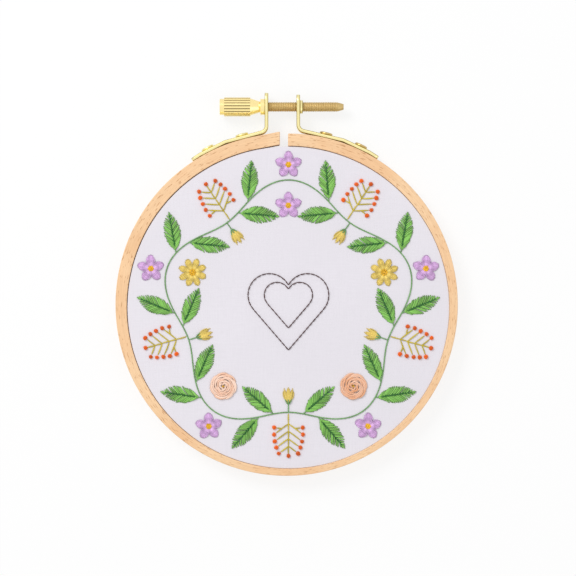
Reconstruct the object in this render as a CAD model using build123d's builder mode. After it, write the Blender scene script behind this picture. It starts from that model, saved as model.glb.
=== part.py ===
# An embroidery hoop with a brass screw clamp, holding a stretched embroidered cloth.
# Millimetres. The hoop lies on its back: +Z is the front of the work, +Y runs to the screw,
# and the origin is the centre of the outer ring on the plane of its back rim.
from build123d import *
from math import asin, atan2, cos, degrees, hypot, pi, radians, sin, sqrt
import os

os.makedirs("parts", exist_ok=True)

# Outer ring, one bent beech strip, open at the top
ring_radius = 68.5
ring_height = 8.0
ring_wall = 3.9
bore_shift_x = 0.58
bore_shift_y = -1.07
rim_break = 0.4
split_left = 2.75
split_right = 0.53
sprung_angle = 11.0
screw_turns = 10
thread_pitch = 0.7

# Inner ring and the cloth stretched over it
crevice = 0.25
crevice_lean = 0.1
cloth_thickness = 0.3
cloth_ease = 0.05
inner_wall = 4.0
inner_height = 7.2
cloth_hem = 0.5

# Strip brackets, bent from brass strip, each with an ear for the screw
strip_thickness = 1.4
strip_width = 7.0
strip_seat_gap = 0.05
ear_bend_radius = 2.0
kink_radius = 1.0
ear_tip_round = 3.0
strip_end_round = 1.5
left_ear_x = 7.4
left_ear_rise = 16.5
left_flat_angles = [14.8, 26.8, 33.2]
right_ear_x = 3.95
right_ear_rise = 15.8
right_flat_angles = [13.0, 25.1, 31.9]
collar_radius = 2.65
collar_length = 1.1

# Rivets
rivet_head_radius = 2.6
rivet_head_height = 1.0
rivet_shank_radius = 1.1
rivet_hole_gap = 0.05
rivet_recess = 0.2

# Screw: a threaded rod pressed into a slotted, ridged knob
screw_rise = 10.9
rod_radius = 1.95
rod_tip_x = 22.85
rod_tip_length = 2.85
rod_tip_radius = 1.15
rod_grip = 10.0
rod_press_gap = 0.02
left_ear_clearance = 0.3
thread_clearance = 0.2
flange_gap = 0.05
flange_radius = 3.2
flange_thickness = 1.7
neck_radius = 2.1
cone_length = 4.1
barrel_radius = 3.8
barrel_length = 10.4
ridge_count = 20
ridge_depth = 0.35
boss_radius = 3.25
boss_length = 1.8
slot_width = 1.3
slot_depth = 1.4
slot_turn = 20.0

# Embroidery: a wavy vine with leaves, blossoms and berry sprigs round a heart
vine_wave = 4.6
wave_count = 5
vine_width = 0.7
vine_runs_per_wave = 12
thread_height = 0.4
leaf_margin = 2.85
leaf_width = 6.4
leaf_height = 0.6
leaf_runs_per_side = 4
leaf_start = 1.3
vein_width = 0.5
vein_end_gap = 1.2
vein_height = 0.2
blossom_height = 0.6
blossom_margin = 1.75
blossom_gap = 0.35
inner_blossom_gap = 4.5
lilac_petal_count = 5
lilac_radius = 5.4
lilac_petal_width = 3.4
lilac_heart_radius = 0.9
daisy_petal_count = 8
daisy_radius = 5.7
daisy_petal_width = 2.6
daisy_heart_radius = 1.2
wheel_radius = 5.5
wheel_sides = 16
wheel_heart_radius = 1.0
bud_length = 6.6
bud_width = 4.4
bud_gap = 0.3
bud_stem_length = 3.5
knot_gap = 0.15
knot_radius = 0.9
knot_height = 1.0
knot_taper = 18.0
knot_sides = 5
sprig_length = 16.5
sprig_stem_width = 0.55
sprig_start = 0.8
sprig_reach = 5.0
twig_length = 2.2
heart_lobe_x = 7.6
heart_lobe_overlap = 1.0
heart_tip = 22.0
heart_rise = 5.0
heart_line_width = 0.7
heart_lobe_runs = 7
inner_heart_share = 0.6

cut_overrun = 1.0

# Worked out from the sizes above
mid_height = ring_height / 2
bore_radius = ring_radius - ring_wall
seat_radius = ring_radius + strip_seat_gap
screw_y = ring_radius + screw_rise
left_ear_top = ring_radius + left_ear_rise
right_ear_top = ring_radius + right_ear_rise
ear_travel = screw_turns * thread_pitch
cloth_radius = bore_radius - crevice
inner_x = bore_shift_x + crevice_lean
inner_y = bore_shift_y - crevice_lean
cloth_wall_radius = cloth_radius - cloth_thickness
inner_radius = cloth_wall_radius - cloth_ease
cloth_top = inner_height + cloth_thickness
rod_hole_radius = rod_radius + left_ear_clearance
tapped_radius = rod_radius + thread_clearance
left_ear_face = -(left_ear_x + strip_thickness)
right_ear_face = right_ear_x + strip_thickness
knob_face = left_ear_face - flange_gap
outer_blossom_radius = cloth_radius - blossom_margin - lilac_radius
vine_peak = outer_blossom_radius - lilac_radius - blossom_gap - vine_width / 2
vine_radius = vine_peak - vine_wave
vine_trough = vine_radius - vine_wave
inner_blossom_radius = vine_peak - vine_width / 2 - inner_blossom_gap - lilac_radius
bud_row_radius = vine_trough - bud_stem_length
leaf_length = cloth_radius - leaf_margin - vine_radius


def rim_point(angle, radius, side=1):
    """A point seen from the ring's centre, by its angle from the top towards one side."""
    return Vector(side * radius * sin(radians(angle)), radius * cos(radians(angle)))


def bore_depth(angle, side):
    """How far the bore's surface lies from the ring's centre in a direction."""
    towards = rim_point(angle, 1, side)
    along = towards.X * bore_shift_x + towards.Y * bore_shift_y
    across = towards.Y * bore_shift_x - towards.X * bore_shift_y
    return along + sqrt(bore_radius**2 - across**2)


# Outer ring
# The two ends are cut square to the split, and the left one has sprung out straight.
def sprung_end(radius, shift_x, shift_y):
    """Where the straight left end meets the split, for the outside or the bore."""
    start = rim_point(sprung_angle, radius, -1)
    run = (-split_left - shift_x - start.X) / cos(radians(sprung_angle))
    return Vector(-split_left, shift_y + start.Y + run * sin(radians(sprung_angle)))


def end_angle(radius, shift_x):
    """The angle, past the top, at which a circle of the ring meets the right end."""
    return degrees(asin((split_right - shift_x) / radius))


# The ring flexes about this line at its bottom, set under the middle of the right ear's travel,
# so the tapped hole stays on the screw's line while the ring opens.
right_ear_middle = right_ear_x + (strip_thickness + collar_length) / 2
flex_x = right_ear_middle + ear_travel / 2
flex_point = Vector(flex_x, -sqrt(ring_radius**2 - flex_x**2))
split_middle = Vector((split_right - split_left) / 2, ring_radius)
flex_line = (split_middle - flex_point).normalized()
flex_plane = Plane(
    origin=(flex_point.X, flex_point.Y, 0), x_dir=(0, 0, 1), z_dir=(flex_line.Y, -flex_line.X, 0)
)
flex_degrees = 2 * degrees(asin(ear_travel / 2 / hypot(ear_travel / 2, screw_y - flex_point.Y)))

with BuildSketch(Plane.XY) as ring_profile:
    with BuildLine():
        turn = 360 - sprung_angle
        outside = CenterArc((0, 0), ring_radius, 90 + sprung_angle, turn - end_angle(ring_radius, 0))
        bore = CenterArc(
            (bore_shift_x, bore_shift_y),
            bore_radius,
            90 + sprung_angle,
            turn - end_angle(bore_radius, bore_shift_x),
        )
        left_top = sprung_end(ring_radius, 0, 0)
        left_bottom = sprung_end(bore_radius, bore_shift_x, bore_shift_y)
        Line(outside @ 0, left_top)
        Line(left_top, left_bottom)
        Line(left_bottom, bore @ 0)
        Line(outside @ 1, bore @ 1)
    make_face()

left_rivet_angles = left_flat_angles[:2]
right_rivet_angles = right_flat_angles[:2]


def rivet_plane(angle, side):
    """A plane on the strip's outer face at a rivet, looking out from the ring."""
    at = rim_point(angle, seat_radius + strip_thickness, side)
    out = rim_point(angle, 1, side)
    return Plane(origin=(at.X, at.Y, mid_height), x_dir=(0, 0, 1), z_dir=(out.X, out.Y, 0))


left_rivet_planes = [rivet_plane(angle, -1) for angle in left_rivet_angles]
right_rivet_planes = [rivet_plane(angle, 1) for angle in right_rivet_angles]
rivet_hole_radius = rivet_shank_radius + rivet_hole_gap
rivet_hole_depth = strip_thickness + ring_radius - bore_radius + 2 * abs(bore_shift_y) + cut_overrun


def runs_outside(edge):
    """Whether an edge of a rim runs round the ring's outside, rather than its bore or its ends."""
    middle = edge @ 0.5
    return hypot(middle.X, middle.Y) > ring_radius - rim_break


with BuildPart() as outer_ring:
    with BuildSketch(Plane.XY):
        add(ring_profile.sketch)
    extrude(amount=ring_height)
    front_rim = outer_ring.faces().sort_by(Axis.Z)[-1]
    chamfer(front_rim.edges().filter_by(runs_outside), rim_break)

with BuildPart() as outer_ring_left:
    add(outer_ring.part)
    split(bisect_by=flex_plane, keep=Keep.BOTTOM)
    with Locations(*left_rivet_planes):
        Hole(rivet_hole_radius, depth=rivet_hole_depth)

with BuildPart() as outer_ring_right:
    add(outer_ring.part)
    split(bisect_by=flex_plane, keep=Keep.TOP)
    with Locations(*right_rivet_planes):
        Hole(rivet_hole_radius, depth=rivet_hole_depth)

# Inner ring
with BuildPart() as inner_ring:
    with BuildSketch(Plane((inner_x, inner_y, 0))):
        Circle(inner_radius)
        Circle(inner_radius - inner_wall, mode=Mode.SUBTRACT)
    extrude(amount=inner_height)

# Cloth: the stretched front, and the edge turned down between the two rings
with BuildPart() as cloth_front:
    with BuildSketch(Plane((inner_x, inner_y, inner_height))):
        Circle(cloth_radius)
    extrude(amount=cloth_thickness)

with BuildPart() as cloth_edge:
    with BuildSketch(Plane((inner_x, inner_y, cloth_hem))):
        Circle(cloth_radius)
        Circle(cloth_wall_radius, mode=Mode.SUBTRACT)
    extrude(amount=inner_height - cloth_hem)


# Brackets
# Each strip runs over the ring in flats, with a rivet through each of the two long ones.
def strip_corners(side, ear_x, ear_top, flat_angles):
    """The corners of a strip's underside, from the ear's tip to the strip's far end."""
    first = radians(flat_angles[0])
    foot = (seat_radius - ear_x * sin(first)) / cos(first)
    corners = [Vector(side * ear_x, ear_top), Vector(side * ear_x, foot)]
    for near, far in zip(flat_angles, flat_angles[1:]):
        lift = cos(radians(far - near) / 2)
        corners.append(rim_point((near + far) / 2, seat_radius / lift, side))
    corners.append(rim_point(flat_angles[-1], seat_radius, side))
    return corners


strip_radii = [ear_bend_radius + strip_thickness, kink_radius, kink_radius]
strip_base = Plane.XY.offset(mid_height - strip_width / 2)
screw_axis = Axis((0, screw_y, mid_height), (1, 0, 0))

with BuildPart() as left_bracket:
    with BuildSketch(strip_base):
        with BuildLine():
            corners = strip_corners(-1, left_ear_x, left_ear_top, left_flat_angles)
            underside = FilletPolyline(*corners, radius=strip_radii)
            offset(underside, amount=strip_thickness, side=Side.RIGHT)
        make_face()
    extrude(amount=strip_width)
    ear_tip = left_bracket.edges().filter_by(Axis.X).group_by(Axis.Y)[-1]
    fillet(ear_tip, ear_tip_round)
    far_end = left_bracket.faces().sort_by(Axis.X)[0]
    fillet(far_end.edges().sort_by(SortBy.LENGTH)[:2], strip_end_round)
    with Locations(Plane((left_ear_face, screw_y, mid_height), z_dir=(-1, 0, 0))):
        Hole(rod_hole_radius, depth=strip_thickness + cut_overrun)
    with Locations(*left_rivet_planes):
        Hole(rivet_hole_radius, depth=strip_thickness + cut_overrun)

with BuildPart() as right_bracket:
    with BuildSketch(strip_base):
        with BuildLine():
            corners = strip_corners(1, right_ear_x, right_ear_top, right_flat_angles)
            underside = FilletPolyline(*corners, radius=strip_radii)
            offset(underside, amount=strip_thickness, side=Side.LEFT)
        make_face()
    extrude(amount=strip_width)
    ear_tip = right_bracket.edges().filter_by(Axis.X).group_by(Axis.Y)[-1]
    fillet(ear_tip, ear_tip_round)
    far_end = right_bracket.faces().sort_by(Axis.X)[-1]
    fillet(far_end.edges().sort_by(SortBy.LENGTH)[:2], strip_end_round)
    with BuildSketch(Plane((right_ear_face, screw_y, mid_height), z_dir=(1, 0, 0))):
        Circle(collar_radius)
    extrude(amount=collar_length)
    collar_mouth = Plane((right_ear_face + collar_length, screw_y, mid_height), z_dir=(1, 0, 0))
    with Locations(collar_mouth):
        Hole(tapped_radius, depth=collar_length + strip_thickness + cut_overrun)
    with Locations(*right_rivet_planes):
        Hole(rivet_hole_radius, depth=strip_thickness + cut_overrun)

# Rivets
thinnest_wall = ring_radius - max(bore_depth(angle, 1) for angle in right_rivet_angles)
rivet_length = strip_thickness + strip_seat_gap + thinnest_wall - rivet_recess

with BuildPart() as rivet:
    Cylinder(rivet_head_radius, rivet_head_height, align=(Align.CENTER, Align.CENTER, Align.MIN))
    Cylinder(rivet_shank_radius, rivet_length, align=(Align.CENTER, Align.CENTER, Align.MAX))

with BuildPart() as left_rivets:
    with Locations(*left_rivet_planes):
        add(rivet.part)

with BuildPart() as right_rivets:
    with Locations(*right_rivet_planes):
        add(rivet.part)

# Screw
# Profiles lie in the plane through the screw's axis, and turn about it.
screw_plane = Plane((0, screw_y, mid_height))
barrel_face = knob_face - flange_thickness - cone_length
boss_face = barrel_face - barrel_length
knob_end = boss_face - boss_length
core_radius = barrel_radius - ridge_depth

with BuildPart() as thumb_knob:
    with BuildSketch(screw_plane):
        with BuildLine():
            Polyline(
                (knob_face, 0),
                (knob_face, flange_radius),
                (knob_face - flange_thickness, flange_radius),
                (knob_face - flange_thickness, neck_radius),
                (barrel_face, core_radius),
                (boss_face, core_radius),
                (boss_face, boss_radius),
                (knob_end, boss_radius),
                (knob_end, 0),
                close=True,
            )
        make_face()
    revolve(axis=screw_axis)
    with BuildSketch(Plane((boss_face, screw_y, mid_height), z_dir=(1, 0, 0))):
        Circle(barrel_radius)
        with PolarLocations(barrel_radius, ridge_count):
            RegularPolygon(ridge_depth, 4, major_radius=True, mode=Mode.SUBTRACT)
    extrude(amount=barrel_length)
    with Locations(Plane((knob_end, screw_y, mid_height), x_dir=(0, 1, 0), z_dir=(-1, 0, 0))):
        Box(
            2 * barrel_radius + cut_overrun,
            slot_width,
            2 * slot_depth,
            rotation=(0, 0, slot_turn),
            mode=Mode.SUBTRACT,
        )
    with Locations(Plane((knob_face, screw_y, mid_height), z_dir=(1, 0, 0))):
        Hole(rod_radius + rod_press_gap, depth=rod_grip + rod_press_gap)

with BuildPart() as threaded_rod:
    with BuildSketch(screw_plane):
        with BuildLine():
            Polyline(
                (knob_face - rod_grip, 0),
                (knob_face - rod_grip, rod_radius),
                (rod_tip_x - rod_tip_length, rod_radius),
                (rod_tip_x, rod_tip_radius),
                (rod_tip_x, 0),
                close=True,
            )
        make_face()
    revolve(axis=screw_axis)


# Embroidery
# Places on the cloth are angles from the top, in shares of the vine's wave, and radii.
def vine_point(angle, drift=0):
    """A point of the wavy vine, or of its edge, at an angle from the top."""
    wave = cos(radians(wave_count * angle))
    return rim_point(angle, vine_radius + vine_wave * wave + drift)


def vine_heading(angle):
    """The vine's direction of growth, up towards the top, in degrees from +X."""
    step = 1 / wave_count
    run = vine_point(angle - step) - vine_point(angle + step)
    return degrees(atan2(run.Y, run.X))


wave_degrees = 360 / wave_count
half_wave = wave_degrees / 2
cloth_plane = Plane((inner_x, inner_y, cloth_top))
leaf_top_plane = cloth_plane.offset(leaf_height)

# A leaf stands on each side of the vine near each place where its bend changes over.
outer_leaf_share = 0.583
inner_leaf_share = 0.78
outer_leaf_turn = 38.0
inner_leaf_turn = 52.0
leaf_places = []
for node in range(wave_count):
    bend = 1 if node % 2 == 0 else -1
    for wave_share, turn in [
        (outer_leaf_share, -bend * outer_leaf_turn),
        (inner_leaf_share, bend * inner_leaf_turn),
    ]:
        angle = (node + wave_share) * half_wave
        aim = vine_heading(angle) + turn
        start = vine_point(angle) + Vector(cos(radians(aim)), sin(radians(aim))) * leaf_start
        leaf_places.append(Location((start.X, start.Y), aim))
        leaf_places.append(Location((-start.X, start.Y), 180 - aim))


def ring_places(angles, radius):
    """Places at a radius, on both sides of the top, each turned to face outwards."""
    places = []
    for angle in angles:
        on_the_middle_line = angle % 180 == 0
        for side in [1] if on_the_middle_line else [1, -1]:
            at = rim_point(angle, radius, side)
            places.append(Location((at.X, at.Y), -side * angle))
    return places


lilac_wave_shares = [0, 2.06, 4.06]
daisy_wave_share = 1.94
wheel_wave_share = 3.9
bud_wave_shares = [1, 3, 5]
sprig_wave_shares = [0.94, 2.94, 5]
lilac_angles = [share * half_wave for share in lilac_wave_shares]
bud_angles = [share * half_wave for share in bud_wave_shares]
sprig_angles = [share * half_wave for share in sprig_wave_shares]
lilac_places = ring_places([0], inner_blossom_radius)
lilac_places += ring_places(lilac_angles, outer_blossom_radius)
daisy_places = ring_places([daisy_wave_share * half_wave], inner_blossom_radius)
wheel_places = ring_places([wheel_wave_share * half_wave], inner_blossom_radius)
bud_places = ring_places(bud_angles, bud_row_radius)
sprig_places = ring_places(sprig_angles, vine_trough)


def outline_face(points):
    """A flat shape inside a closed line of points."""
    with BuildSketch(Plane.XY) as outline:
        with BuildLine():
            Polyline(*points, close=True)
        make_face()
    return outline.sketch


def motif_outline(length, width, outline_shares):
    """A leaf, petal or bud from its base at zero along +X, from shares of its length and width."""
    upper = [(length * along, width * across) for along, across in outline_shares]
    lower = [(x, -y) for x, y in reversed(upper) if y > 0]
    return outline_face(upper + lower)


# Straight runs follow each side of a leaf, from its base to its tip, on a parabola.
leaf_run_shares = [run / leaf_runs_per_side for run in range(leaf_runs_per_side + 1)]
leaf_outline_shares = [(share, 2 * share * (1 - share)) for share in leaf_run_shares]
petal_outline_shares = [(0, 0.1), (0.35, 0.4), (0.7, 0.5), (1, 0.25)]
bud_outline_shares = [(0, 0), (0.3, 0.45), (0.95, 0.5), (0.72, 0.22), (1, 0)]
leaf_outline = motif_outline(leaf_length, leaf_width, leaf_outline_shares)
lilac_petal_outline = motif_outline(lilac_radius, lilac_petal_width, petal_outline_shares)
daisy_petal_outline = motif_outline(daisy_radius, daisy_petal_width, petal_outline_shares)
bud_outline = motif_outline(bud_length, bud_width, bud_outline_shares)

with BuildPart() as leaf_stitches:
    with BuildSketch(cloth_plane):
        with Locations(*leaf_places):
            add(leaf_outline)
    extrude(amount=leaf_height)

with BuildPart() as leaf_veins:
    with BuildSketch(leaf_top_plane):
        with Locations(*leaf_places):
            with Locations((leaf_length / 2, 0)):
                Rectangle(leaf_length - 2 * vein_end_gap, vein_width)
    extrude(amount=vein_height)

vine_runs = wave_count * vine_runs_per_wave
vine_angles = [360 * run / vine_runs for run in range(vine_runs)]

with BuildPart() as vine_stitches:
    with BuildSketch(cloth_plane):
        for drift, change in [(vine_width / 2, Mode.ADD), (-vine_width / 2, Mode.SUBTRACT)]:
            add(outline_face([vine_point(angle, drift) for angle in vine_angles]), mode=change)
        with BuildLine():
            for place in bud_places:
                stem_end = place.position + place.position.normalized() * bud_gap
                Line(stem_end, place.position.normalized() * vine_trough)
        trace(line_width=vine_width)
    extrude(amount=thread_height)

with BuildPart() as lilac_petals:
    with BuildSketch(cloth_plane):
        with Locations(*lilac_places):
            with PolarLocations(0, lilac_petal_count, start_angle=90):
                add(lilac_petal_outline)
    extrude(amount=blossom_height)

with BuildPart() as daisy_petals:
    with BuildSketch(cloth_plane):
        with Locations(*daisy_places):
            with PolarLocations(0, daisy_petal_count, start_angle=90):
                add(daisy_petal_outline)
    extrude(amount=blossom_height)

with BuildPart() as wheel_blossoms:
    with BuildSketch(cloth_plane):
        with Locations(*wheel_places):
            RegularPolygon(wheel_radius, wheel_sides)
    extrude(amount=blossom_height)

with BuildPart() as yellow_buds:
    with BuildSketch(cloth_plane):
        with Locations(*bud_places):
            add(bud_outline, rotation=-90)
    extrude(amount=blossom_height)

# A sprig is a straight stem with pairs of side stems, the lowest pair forked, and a berry on each end.
side_stem_shares = [0.28, 0.46, 0.64, 0.82]
reach_shares = [1, 0.92, 0.8, 0.62]
side_rise_share = 0.75
fork_share = 0.5
twig_drop_share = 0.1
berry_gap = knot_radius + knot_gap
sprig_lines = [(Vector(0, sprig_start), Vector(0, sprig_length))]
for row, (stem_share, reach_share) in enumerate(zip(side_stem_shares, reach_shares)):
    for side in [1, -1]:
        reach = sprig_reach * reach_share
        root = Vector(0, sprig_length * stem_share)
        run = Vector(side * reach, reach * side_rise_share)
        sprig_lines.append((root, root + run))
        if row == 0:
            fork = root + run * fork_share
            twig = Vector(side * twig_length, -twig_length * twig_drop_share)
            sprig_lines.append((fork, fork + twig))
berry_points = [end + (end - start).normalized() * berry_gap for start, end in sprig_lines]

with BuildSketch(Plane.XY) as sprig_outline:
    with BuildLine():
        for start, end in sprig_lines:
            Line(start, end)
    trace(line_width=sprig_stem_width)

with BuildPart() as sprig_stems:
    with BuildSketch(cloth_plane):
        with Locations(*sprig_places):
            add(sprig_outline.sketch)
    extrude(amount=thread_height)

with BuildPart() as berry_knots:
    with BuildSketch(cloth_plane):
        with Locations(*sprig_places):
            with Locations(*berry_points):
                RegularPolygon(knot_radius, knot_sides)
    extrude(amount=knot_height, taper=knot_taper)

with BuildPart() as blossom_hearts:
    with BuildSketch(cloth_plane.offset(blossom_height)):
        with Locations(*lilac_places):
            RegularPolygon(lilac_heart_radius, knot_sides)
        with Locations(*daisy_places):
            RegularPolygon(daisy_heart_radius, knot_sides)
        with Locations(*wheel_places):
            RegularPolygon(wheel_heart_radius, knot_sides)
    extrude(amount=knot_height - blossom_height, taper=knot_taper)


def heart_face(size_share, grow):
    """A filled heart, its two lobes arcs in straight runs, grown past its line by an amount."""
    lobe_x = heart_lobe_x * size_share
    lobe_line = (heart_lobe_x + heart_lobe_overlap) * size_share
    lobe_radius = lobe_line + grow
    tip = heart_tip * size_share
    side_aim = atan2(tip, lobe_x) - asin(lobe_line / hypot(lobe_x, tip))
    side_turn = side_aim - pi / 2
    cleft_turn = atan2(sqrt(lobe_radius**2 - lobe_x**2), -lobe_x)
    half = [Vector(0, -tip - grow / cos(side_aim))]
    for run in range(heart_lobe_runs + 1):
        turn = side_turn + (cleft_turn - side_turn) * run / heart_lobe_runs
        half.append(Vector(lobe_x + lobe_radius * cos(turn), lobe_radius * sin(turn)))
    return outline_face(half + [Vector(-point.X, point.Y) for point in reversed(half[1:-1])])


with BuildPart() as heart_outlines:
    with BuildSketch(cloth_plane.shift_origin((inner_x, inner_y + heart_rise, cloth_top))):
        for size_share in [1, inner_heart_share]:
            add(heart_face(size_share, heart_line_width / 2))
            add(heart_face(size_share, -heart_line_width / 2), mode=Mode.SUBTRACT)
    extrude(amount=thread_height)

nodes = {
    "outer_ring_left": outer_ring_left,
    "outer_ring_right": outer_ring_right,
    "inner_ring": inner_ring,
    "cloth_front": cloth_front,
    "cloth_edge": cloth_edge,
    "left_bracket": left_bracket,
    "right_bracket": right_bracket,
    "left_rivets": left_rivets,
    "right_rivets": right_rivets,
    "thumb_knob": thumb_knob,
    "threaded_rod": threaded_rod,
    "leaf_stitches": leaf_stitches,
    "leaf_veins": leaf_veins,
    "vine_stitches": vine_stitches,
    "lilac_petals": lilac_petals,
    "daisy_petals": daisy_petals,
    "wheel_blossoms": wheel_blossoms,
    "yellow_buds": yellow_buds,
    "sprig_stems": sprig_stems,
    "berry_knots": berry_knots,
    "blossom_hearts": blossom_hearts,
    "heart_outlines": heart_outlines,
}
for label, piece in nodes.items():
    piece.part.label = label
    export_step(piece.part, f"parts/{label}.step")

print(f"flex line at {flex_point.X:.3f}, {flex_point.Y:.3f} mm, opens {flex_degrees:.4f} degrees")
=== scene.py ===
"""Looks for an embroidery hoop: a beech hoop with a brass screw clamp, and an embroidered cloth in it."""

import random
from math import asin, atan2, ceil, cos, degrees, hypot, pi, radians, sin, sqrt

import bmesh
import bpy
from bpy.props import FloatProperty, FloatVectorProperty, IntProperty, PointerProperty
from bpy.types import Operator, Panel, PropertyGroup
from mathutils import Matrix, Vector


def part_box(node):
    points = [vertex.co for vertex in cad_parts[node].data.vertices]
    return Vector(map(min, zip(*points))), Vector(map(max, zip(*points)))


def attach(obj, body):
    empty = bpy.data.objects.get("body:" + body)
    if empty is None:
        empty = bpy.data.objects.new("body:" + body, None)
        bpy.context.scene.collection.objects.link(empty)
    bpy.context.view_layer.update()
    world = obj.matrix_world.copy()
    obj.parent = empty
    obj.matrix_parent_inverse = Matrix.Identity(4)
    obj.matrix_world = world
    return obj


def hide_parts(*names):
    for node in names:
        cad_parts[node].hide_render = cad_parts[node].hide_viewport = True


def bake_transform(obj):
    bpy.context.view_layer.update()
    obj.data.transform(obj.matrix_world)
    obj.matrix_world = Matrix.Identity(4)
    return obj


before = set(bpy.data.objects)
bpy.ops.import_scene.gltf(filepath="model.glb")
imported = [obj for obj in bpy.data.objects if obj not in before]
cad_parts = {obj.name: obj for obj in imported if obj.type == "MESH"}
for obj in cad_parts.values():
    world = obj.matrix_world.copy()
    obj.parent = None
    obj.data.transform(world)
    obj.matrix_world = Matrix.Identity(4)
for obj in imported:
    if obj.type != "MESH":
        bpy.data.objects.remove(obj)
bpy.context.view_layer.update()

bl_info = {
    "name": "Embroidery Hoop",
    "version": (1, 0, 0),
    "blender": (4, 5, 0),
    "location": "3D View > Sidebar > Hoop",
    "description": "Builds an embroidery hoop with its brass clamp and its stitched cloth",
    "category": "Add Mesh",
}

MM = 0.001
cloth_low, cloth_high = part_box("cloth_front")
cloth_centre = (cloth_low + cloth_high) / 2
cloth_radius = (cloth_high.x - cloth_low.x) / 2
cloth_top = cloth_high.z
cloth_thickness = cloth_high.z - cloth_low.z
rod_low, rod_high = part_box("threaded_rod")
screw_axis = (rod_low + rod_high) / 2


# Node trees
class Wire:
    """A node's output that takes part in sums as a number does."""

    def __init__(self, plan, socket):
        self.plan, self.socket = plan, socket

    def other(self, label):
        """Another output of the same node."""
        return Wire(self.plan, self.socket.node.outputs[label])

    def sum(self, operation, *values):
        return self.plan.node("ShaderNodeMath", {"operation": operation}, dict(enumerate(values)))

    def __add__(self, other):
        return self.sum("ADD", self, other)

    def __radd__(self, other):
        return self.sum("ADD", other, self)

    def __sub__(self, other):
        return self.sum("SUBTRACT", self, other)

    def __rsub__(self, other):
        return self.sum("SUBTRACT", other, self)

    def __mul__(self, other):
        return self.sum("MULTIPLY", self, other)

    def __rmul__(self, other):
        return self.sum("MULTIPLY", other, self)

    def __pow__(self, other):
        return self.sum("POWER", self, other)

    def __abs__(self):
        return self.sum("ABSOLUTE", self)

    def sine(self):
        return self.sum("SINE", self)

    def clamped(self):
        return self.sum("MINIMUM", self, 1.0)


class Plan:
    """Adds nodes to one tree and joins them up."""

    def __init__(self, tree):
        self.tree = tree

    def node(self, kind, settings=None, values=None, out=0):
        """A new node. Its settings are made first, and then its sockets get their values or links."""
        node = self.tree.nodes.new(kind)
        for key, value in (settings or {}).items():
            setattr(node, key, value)
        for key, value in (values or {}).items():
            if isinstance(value, Wire):
                self.tree.links.new(value.socket, node.inputs[key])
            else:
                node.inputs[key].default_value = value
        return Wire(self, node.outputs[out]) if len(node.outputs) else None

    def place(self):
        return self.node("ShaderNodeTexCoord", None, None, "Object")

    def axes(self, vector):
        """The X and Y of a vector."""
        split = self.node("ShaderNodeSeparateXYZ", None, {0: vector})
        return split.other("X"), split.other("Y")

    def step(self, value, low, high):
        """A smooth rise from 0 at low to 1 at high."""
        settings = {"interpolation_type": "SMOOTHSTEP"}
        return self.node("ShaderNodeMapRange", settings, {0: value, 1: low, 2: high, 3: 0.0, 4: 1.0})

    def mix(self, share, first, second):
        return self.node("ShaderNodeMix", {"data_type": "RGBA"}, {0: share, 6: first, 7: second}, 2)

    def vector(self, operation, values):
        return self.node("ShaderNodeVectorMath", {"operation": operation}, values)

    def noise(self, vector, scale, detail, rough=0.5):
        """Noise over a vector, at one scale or at a scale for each axis."""
        if isinstance(scale, tuple):
            vector, scale = self.vector("MULTIPLY", {0: vector, 1: scale}), 1.0
        values = {"Vector": vector, "Scale": scale, "Detail": detail, "Roughness": rough}
        return self.node("ShaderNodeTexNoise", None, values)

    def attribute(self, name):
        return self.node("ShaderNodeAttribute", {"attribute_name": name}, None, "Fac")

    def bump(self, height, strength, distance):
        values = {"Height": height, "Strength": strength, "Distance": distance}
        return self.node("ShaderNodeBump", None, values)

    def kept(self, label):
        """A number that a geometry keeps under a name."""
        return self.node("GeometryNodeInputNamedAttribute", None, {"Name": label})

    def keep(self, geometry, **facts):
        """The same geometry, with each number kept on its points under its name."""
        settings = {"data_type": "FLOAT", "domain": "POINT"}
        for label, value in facts.items():
            values = {"Geometry": geometry, "Name": label, "Value": value}
            geometry = self.node("GeometryNodeStoreNamedAttribute", settings, values)
        return geometry

    def share(self):
        """How far along its curve a point lies, from 0 to 1. Its other output is the length so far."""
        return self.node("GeometryNodeSplineParameter", None, None, "Factor")


def rgb(red, green, blue):
    """A colour as a screen gives it, 0 to 255, turned into Blender's linear values."""
    shares = [value / 255 for value in (red, green, blue)]
    return tuple(s / 12.92 if s <= 0.04045 else ((s + 0.055) / 1.055) ** 2.4 for s in shares)


def shade(colour, share):
    """A colour's light times a share, as a shader takes it."""
    return tuple(value * share for value in colour[:3]) + (1.0,)


def emptied(block):
    """A plan for the emptied node tree of a material or a world."""
    block.use_nodes = True
    block.node_tree.nodes.clear()
    return Plan(block.node_tree)


def material(name, surface):
    """A material whose surface function returns the values of a Principled shader."""
    made = bpy.data.materials.new(name)
    plan = emptied(made)
    shader = plan.node("ShaderNodeBsdfPrincipled", None, surface(plan))
    plan.node("ShaderNodeOutputMaterial", None, {"Surface": shader})
    return made


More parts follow.
